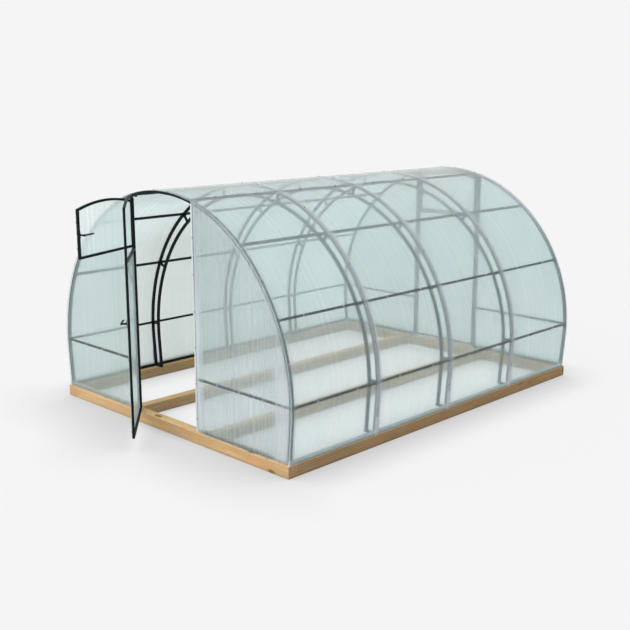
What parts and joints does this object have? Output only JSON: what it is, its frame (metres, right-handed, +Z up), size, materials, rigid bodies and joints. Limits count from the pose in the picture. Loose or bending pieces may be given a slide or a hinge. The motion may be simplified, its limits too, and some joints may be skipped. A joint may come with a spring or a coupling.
{
  "type": "polycarbonate greenhouse",
  "caption": "Arched walk-in greenhouse: steel hoop frame on a timber base, clear twin-wall glazing, a hinged door and an upper window in each gable.",
  "frame": {"origin": "ground level under the front sill, on the centre plane, in line with the front gable frame", "axes": "+Y into the house from the front door to the rear door, +Z up, +X to the right seen from the front"},
  "size_m": [3.173, 4.8147, 2.1263],
  "materials": {
    "timber": "planed softwood beams, oiled, satin",
    "frame_steel": "dark green-black enamel on square steel tube, semi-gloss",
    "glazing": "clear fluted twin-wall sheet with a faint cool tint",
    "door_glazing": "clear fluted twin-wall sheet, bluish where it is seen at a low angle",
    "zinc": "galvanised strip steel",
    "handle_black": "black moulded lever handle"
  },
  "bodies": {
    "house": {"sill_front": "timber", "sill_rear": "timber", "sill_left": "timber", "sill_right": "timber", "bed_edge_left": "timber", "bed_edge_right": "timber", "arch_front": "frame_steel", "arch_rear": "frame_steel", "rib_1": "frame_steel", "rib_2": "frame_steel", "rib_3": "frame_steel", "purlins_1": "frame_steel", "purlins_2": "frame_steel", "purlins_3": "frame_steel", "purlins_4": "frame_steel", "gable_frame_front": "frame_steel", "gable_frame_rear": "frame_steel", "foot_clips": "zinc", "roof_sheet_front": "glazing", "roof_sheet_rear": "glazing", "gable_sheet_front_left": "glazing", "gable_sheet_front_right": "glazing", "gable_sheet_rear_left": "glazing", "gable_sheet_rear_right": "glazing", "post_hinges_front": "frame_steel", "post_hinges_rear": "frame_steel"},
    "front_door": {"door_frame_front": "frame_steel", "door_hinges_front": "frame_steel", "door_pane_front": "door_glazing", "door_handle_front": "handle_black", "window_frame_front": "frame_steel", "window_hinges_front": "frame_steel", "window_pane_front": "glazing", "window_handle_front": "handle_black"},
    "rear_door": {"door_frame_rear": "frame_steel", "door_hinges_rear": "frame_steel", "door_pane_rear": "door_glazing", "door_handle_rear": "handle_black", "window_frame_rear": "frame_steel", "window_hinges_rear": "frame_steel", "window_pane_rear": "glazing", "window_handle_rear": "handle_black"}
  },
  "joints": [
    {"name": "front_door_swing", "type": "hinge", "parent": "house", "child": "front_door", "pos_m": [-0.4125, -0.0195, 0], "axis": [0, 0, -1], "range_deg": [-39.8, 70.2]},
    {"name": "rear_door_swing", "type": "hinge", "parent": "house", "child": "rear_door", "pos_m": [0.4125, 4.0095, 0], "axis": [0, 0, -1], "range_deg": [0, 110]}
  ]
}
